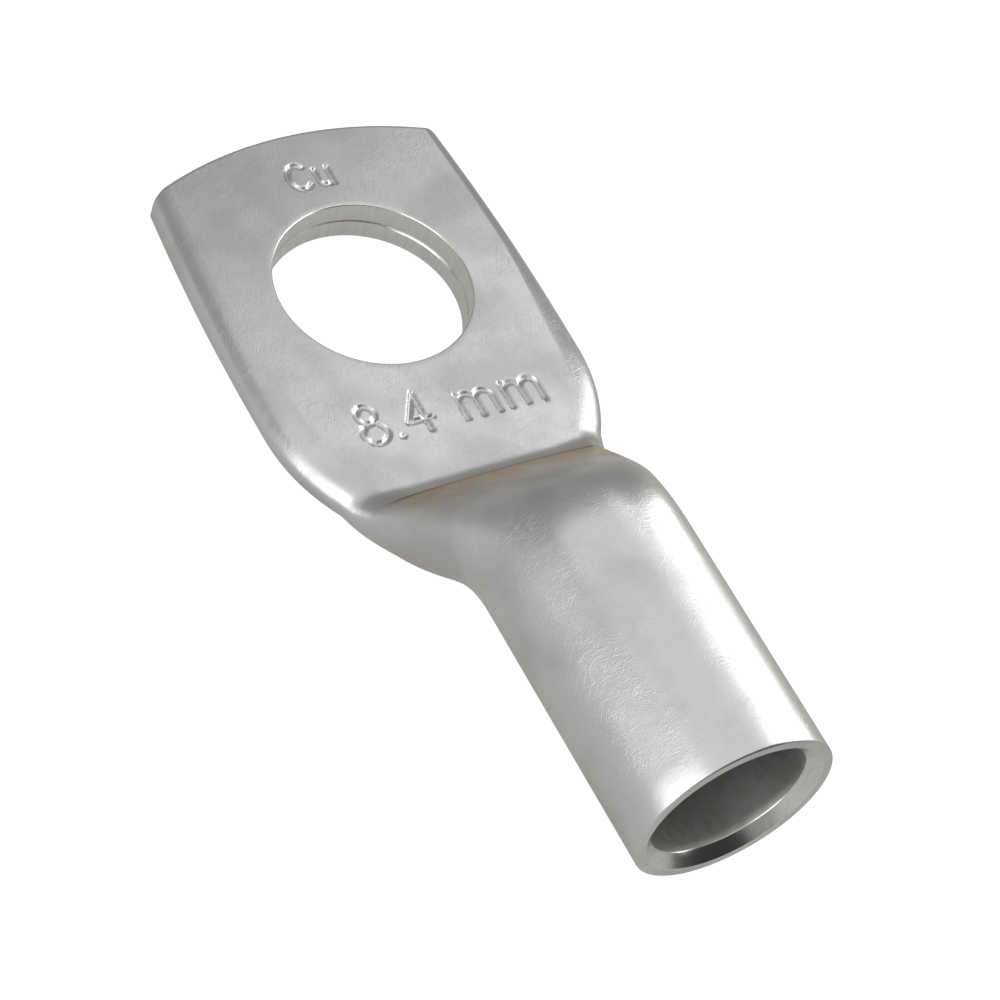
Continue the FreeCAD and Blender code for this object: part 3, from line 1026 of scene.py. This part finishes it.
def hairlines(tree, place, stretch, turn_z, shift=0.0):
    """Only the crests of the noise: thin scratches, plain metal between."""
    grain = streaks(tree, place, stretch, turn_z, 2.0, shift)
    return ramp_between(tree, grain, *CREST_OF_NOISE)


print("scratches start where the noise passes", CREST_OF_NOISE[0])

# %% Scratch the outside
STREAK_TURN = 27.0
TUBE_SCRATCHED = (10.7, 11.6)
tin, tree, shader, place = new_material("satin_tin")
axes = add_node(tree, "ShaderNodeSeparateXYZ")
tree.links.new(place, axes.inputs[0])
along, across, up = axes.outputs
# The tube is unrolled: x stays, and the angle about its axis becomes a length.
angle = math_node(tree, "ARCTAN2", across, math_node(tree, "SUBTRACT", up, TUBE_AXIS_Z))
unrolled = add_node(tree, "ShaderNodeCombineXYZ")
tree.links.new(along, unrolled.inputs[0])
tree.links.new(product(tree, angle, TUBE_RADIUS), unrolled.inputs[1])
unrolled = unrolled.outputs[0]
palm_scratch = strongest(
    tree,
    hairlines(tree, place, (1.5, 14.0, 1.0), STREAK_TURN),
    hairlines(tree, place, (1.7, 13.0, 1.0), STREAK_TURN - 12, 7.0),
    hairlines(tree, place, (1.0, 15.0, 1.0), STREAK_TURN + 50, 13.0),
)
tube_scratch = strongest(
    tree,
    hairlines(tree, unrolled, (13.0, 1.7, 1.0), 0.0, 3.0),
    hairlines(tree, unrolled, (14.0, 2.0, 1.0), 16.0, 9.0),
    hairlines(tree, unrolled, (14.0, 1.4, 1.0), -40.0, 17.0),
)
on_tube = ramp_between(tree, along, *TUBE_SCRATCHED)
patches = clouds(tree, place, 0.6, 2.0, 21.0)
scratch = product(
    tree,
    mixed(tree, on_tube, palm_scratch, tube_scratch),
    ramp_between(tree, patches, 0.35, 0.65, 0.25, 1.0),
)
print(tin.name, "has", len(tree.nodes), "nodes so far")

# %% [markdown]
# A band behind the crest is tinted a little warm, and a line on the crest
# itself is painted brown: painted shade of the crease at the step. A metal
# loses its colour at a grazing view, unless its edge is tinted too, so each
# tone has a second one for the shader's edge.

# %% Colour the outside
DULL_TIN, CLEAN_TIN = (0.66, 0.66, 0.655), (0.775, 0.775, 0.77)
# The last tone on this line and on the next is brown: painted shade of the crease, laid on the
# crest.
WARM_BAND_TIN, CREASE_SHADE_TIN = (0.74, 0.64, 0.53), (0.46, 0.34, 0.25)
TIN_EDGE, WARM_BAND_EDGE, CREASE_SHADE_EDGE = (0.97, 0.94, 0.88), (0.94, 0.78, 0.62), (0.58, 0.42, 0.29)
# Each pair is a place in millimetres: where a tone starts, and where it is full.
SIDES_FROM, SIDES_FULL = 5.0, 4.2
BAND_NEAR_STEP, BAND_NEAR_DOME = (10.5, 10.8), (13.8, 11.2)
LINE_NEAR_STEP, LINE_NEAR_DOME = (10.58, 10.68), (10.92, 10.80)
blotch = clouds(tree, place, 0.32, 4.0, 1.0)
dents = clouds(tree, place, 0.9, 2.0, 5.0)
side_fade = ramp_between(tree, math_node(tree, "ABSOLUTE", across), SIDES_FROM, SIDES_FULL)
# A band behind the crest, tinted warm and a little darker, uneven with the dents.
warm_band = product(
    tree,
    ramp_between(tree, along, *BAND_NEAR_STEP),
    ramp_between(tree, along, *BAND_NEAR_DOME),
    side_fade,
    ramp_between(tree, dents, 0.35, 0.58, 0.45, 1.0),
)
# A thin line along the crest, painted brown: painted shade of the crease at the step.
painted_crest_shade = product(
    tree,
    ramp_between(tree, along, *LINE_NEAR_STEP),
    ramp_between(tree, along, *LINE_NEAR_DOME),
    side_fade,
)
blotched = tint(tree, ramp_between(tree, blotch, 0.38, 0.58), DULL_TIN, CLEAN_TIN)
warm = tinted_over(tree, warm_band, blotched, WARM_BAND_TIN)
# Over the warm band goes the brown line of painted shade.
tree.links.new(tinted_over(tree, painted_crest_shade, warm, CREASE_SHADE_TIN), shader.inputs["Base Color"])
warm_edge = tint(tree, warm_band, TIN_EDGE, WARM_BAND_EDGE)
tree.links.new(tinted_over(tree, painted_crest_shade, warm_edge, CREASE_SHADE_EDGE),
               shader.inputs["Specular Tint"])
print("tin from", DULL_TIN, "to", CLEAN_TIN)

# %% Make the outside satin
DULL_ROUGH, CLEAN_ROUGH = 0.34, 0.27
SCRATCH_ROUGH, SCRATCH_HEIGHT, DENT_HEIGHT = 0.07, 0.0032, 0.008
rough = math_node(tree, "ADD",
                  ramp_between(tree, blotch, 0.36, 0.62, DULL_ROUGH, CLEAN_ROUGH),
                  product(tree, scratch, SCRATCH_ROUGH))
tree.links.new(rough, shader.inputs["Roughness"])
height = math_node(tree, "ADD", product(tree, scratch, SCRATCH_HEIGHT),
                   product(tree, dents, DENT_HEIGHT))
raised(tree, shader, height)
print(tin.name, "has", len(tree.nodes), "nodes")

# %% [markdown]
# ## The cut faces and the bore
#
# The hole was punched and the chamfer cut before plating, so their tin has
# fine lines the way the tool went: down the hole's wall and round the
# chamfer. The bore is the tube's own drawn inside. It is tin too, but the
# plating bath hardly moves in there, and it comes out duller.

# %% The other two finishes
# Both tones are lighter than the outside tin: painted light on the hole's wall and the chamfer.
CUT_DARK, CUT_LIGHT = (0.78, 0.76, 0.72), (0.87, 0.865, 0.84)
CUT_ROUGH, CUT_HEIGHT = 0.24, 0.0007
cut, tree, shader, place = new_material("punched_tin")
lines = streaks(tree, place, (9.0, 9.0, 0.7), 0.0, 3.0)
tree.links.new(tint(tree, ramp_between(tree, lines, 0.3, 0.7), CUT_DARK, CUT_LIGHT),
               shader.inputs["Base Color"])
shader.inputs["Roughness"].default_value = CUT_ROUGH
raised(tree, shader, product(tree, lines, CUT_HEIGHT))

# These tones are lighter still: painted light in the bore, where little light reaches.
BORE_DARK, BORE_LIGHT = (0.84, 0.83, 0.81), (0.97, 0.965, 0.95)
BORE_ROUGH, BORE_HEIGHT = 0.38, 0.012
bore_finish, tree, shader, place = new_material("bore_tin")
lines = streaks(tree, place, (1.2, 7.0, 7.0), 0.0, 4.0)
pits = clouds(tree, place, 2.5, 4.0, 2.0)
tree.links.new(tint(tree, ramp_between(tree, pits, 0.35, 0.65), BORE_DARK, BORE_LIGHT),
               shader.inputs["Base Color"])
shader.inputs["Roughness"].default_value = BORE_ROUGH
raised(tree, shader, product(tree, lines, BORE_HEIGHT))

for finish in (tin, cut, bore_finish):
    lug_mesh.materials.append(finish)
print("finishes:", [m.name for m in lug_mesh.materials])

# %% [markdown]
# ## The floor and the light
#
# The lug lies on a white table under soft light. A white floor could be lit
# until it clips, but then the metal would be too bright as well. So the floor
# adds a glow that the camera and the reflections see, and its own paint still
# takes the lug's shadow. The glow that the metal mirrors is stronger on the
# near side, where the photographed lug mirrors a brighter table. Satin metal
# shows little but its lights, so they are large soft boxes placed where the
# metal's highlights look.

# %% Lay the floor, in metres
FLOOR_HALF = 2.0
FLOOR_PAINT = 0.30
FLOOR_SEEN = 0.90
MIRRORED_NEAR, MIRRORED_FAR = 0.27, 0.15
NEAR_UNTIL_Y, FAR_FROM_Y = -2 * MM, 15 * MM


def four_corners(name, corners):
    """A flat sheet through four corners in metres. It isn't part of the lug."""
    sheet_mesh = bpy.data.meshes.new(name)
    sheet_mesh.from_pydata(corners, [], [(0, 1, 2, 3)])
    sheet = put_in_scene(name, sheet_mesh)
    return sheet


floor = four_corners("floor", [
    (-FLOOR_HALF, -FLOOR_HALF, 0), (FLOOR_HALF, -FLOOR_HALF, 0),
    (FLOOR_HALF, FLOOR_HALF, 0), (-FLOOR_HALF, FLOOR_HALF, 0),
])
paper = bpy.data.materials.new("white_table")
paper.use_nodes = True
tree = paper.node_tree
tree.nodes.clear()
output = add_node(tree, "ShaderNodeOutputMaterial")
paint = add_node(tree, "ShaderNodeBsdfDiffuse", {"Color": (*(FLOOR_PAINT,) * 3, 1)})
glow = add_node(tree, "ShaderNodeEmission")
both = add_node(tree, "ShaderNodeAddShader")
rays = add_node(tree, "ShaderNodeLightPath")
spot = add_node(tree, "ShaderNodeTexCoord")
spot_axes = add_node(tree, "ShaderNodeSeparateXYZ")
tree.links.new(spot.outputs["Object"], spot_axes.inputs[0])
near_side = ramp_between(tree, spot_axes.outputs["Y"], NEAR_UNTIL_Y, FAR_FROM_Y,
                         MIRRORED_NEAR, MIRRORED_FAR)
seen = product(tree, rays.outputs["Is Camera Ray"], FLOOR_SEEN)
mirrored = product(tree, rays.outputs["Is Glossy Ray"], near_side)
through = product(tree, rays.outputs["Is Transmission Ray"], FLOOR_SEEN)
level = math_node(tree, "ADD", math_node(tree, "ADD", seen, mirrored), through)
tree.links.new(level, glow.inputs["Strength"])
tree.links.new(paint.outputs[0], both.inputs[0])
tree.links.new(glow.outputs[0], both.inputs[1])
tree.links.new(both.outputs[0], output.inputs[0])
floor.data.materials.append(paper)
print("floor:", 2 * FLOOR_HALF, "m wide")

# %% Light the room
ROOM = 0.30
world = bpy.data.worlds.new("room")
bpy.context.scene.world = world
world.use_nodes = True
tree = world.node_tree
rays = add_node(tree, "ShaderNodeLightPath")
# The camera sees white, and the lug is lit by the room's own level.
room_level = math_node(tree, "ADD", product(tree, rays.outputs["Is Camera Ray"], 1 - ROOM), ROOM)
background = tree.nodes["Background"]
background.inputs["Color"].default_value = (1, 1, 1, 1)
tree.links.new(room_level, background.inputs["Strength"])
print("room at", ROOM, "of white")

# %% [markdown]
# The right box draws the bright band down the tube's far side, and the left
# box the softer one on the near side. The side box carries the left one on,
# dimly, towards the palm. The top box lights the palm and the dome, and the
# palm box hangs where the flat palm mirrors it to the camera.

# %% Hang the soft boxes
def soft_box(name, middle, faces, width, tall, brightness, roll=0.0):
    """A rectangle of light at a place in millimetres, facing a direction and
    rolled about it in degrees.
    Brightness is what a mirror would show: power is pi times area times it."""
    light = bpy.data.lights.new(name, "AREA")
    light.shape = "RECTANGLE"
    light.size, light.size_y = width * MM, tall * MM
    light.energy = pi * width * tall * MM**2 * brightness
    box = put_in_scene(name, light)
    box.location = Vector(middle) * MM
    box.rotation_mode = "QUATERNION"
    upright = Vector(faces).to_track_quat("-Z", "Y")
    box.rotation_quaternion = upright @ Quaternion((0, 0, 1), radians(roll))
    box.visible_camera = False
    return box


boxes = [
    soft_box("right_box", (17, 65.7, 62), (0, -1, 0.42), 70, 118, 1.9, -12),
    soft_box("left_box", (55, -120, 75), (0, 1, 0), 134, 160, 1.7, 6),
    soft_box("side_box", (-34, -120, 80), (0, 1, 0), 44, 176, 0.28),
    soft_box("top_box", (8, -2, 105), (0, 0, -1), 146, 176, 0.45),
    soft_box("palm_box", (-50, 66, 88), (50, -66, -88), 50, 36, 0.42),
]
print("soft boxes, watts:", {box.name: round(box.data.energy, 4) for box in boxes})

# %% [markdown]
# The bore and its chamfer look out past the mouth. The photographed ones
# mirror something dark there, and a white room has nothing dark in it. So a
# card of black felt stands beyond the mouth, square to the line from it. Only
# the metal's reflections see the card, so it leaves no shadow on the floor.

# %% Stand the dark card
CARD_AT, CARD_HALF, CARD_LONG = np.array((78.0, 34.0, 40.0)), 46.0, 1.35
FELT_GREY, FELT_ROUGH = 0.03, 0.9
card_out = CARD_AT - np.array((MOUTH_X, 0, TUBE_AXIS_Z))
card_out /= np.linalg.norm(card_out)
card_side = np.cross((0, 0, 1), card_out)
card_side /= np.linalg.norm(card_side)
card_up = np.cross(card_out, card_side)
card = four_corners("dark_card", [
    tuple((CARD_AT + CARD_HALF * (u * card_side + v * card_up)) * MM)
    for u, v in ((-CARD_LONG, -1), (1, -1), (1, 1), (-CARD_LONG, 1))
])
card.visible_camera = False
card.visible_diffuse = False
card.visible_shadow = False
card.visible_transmission = False
felt = bpy.data.materials.new("black_felt")
felt.use_nodes = True
felt_inputs = felt.node_tree.nodes["Principled BSDF"].inputs
felt_inputs["Base Color"].default_value = (*(FELT_GREY,) * 3, 1)
felt_inputs["Roughness"].default_value = FELT_ROUGH
card.data.materials.append(felt)
print("card:", round((1 + CARD_LONG) * CARD_HALF, 1), "by", 2 * CARD_HALF, "mm")

# %% [markdown]
# ## The camera
#
# The photograph was taken with a long lens from above, beside the mouth, and
# the camera was held at a slant. So the camera looks at a point by the step,
# and is then rolled about its line of sight.

# %% Set the camera
CAMERA_AT = Vector((77.729, -66.371, 114.159)) * MM
CAMERA_AIM = Vector((12.173, -0.717, 3.0)) * MM
CAMERA_ROLL = 21.760
LENS, SENSOR = 133.198, 36.0
camera_data = bpy.data.cameras.new("camera")
camera_data.lens, camera_data.sensor_width = LENS, SENSOR
camera_data.clip_start, camera_data.clip_end = 0.005, 10.0
camera = put_in_scene("camera", camera_data)
camera.location = CAMERA_AT
upright = (CAMERA_AIM - CAMERA_AT).to_track_quat("-Z", "Y")
camera.rotation_mode = "QUATERNION"
camera.rotation_quaternion = upright @ Quaternion((0, 0, 1), radians(CAMERA_ROLL))
bpy.context.scene.camera = camera
bpy.context.scene.view_settings.view_transform = "Standard"
print("camera", round((CAMERA_AIM - CAMERA_AT).length / MM, 1), "mm from its aim")
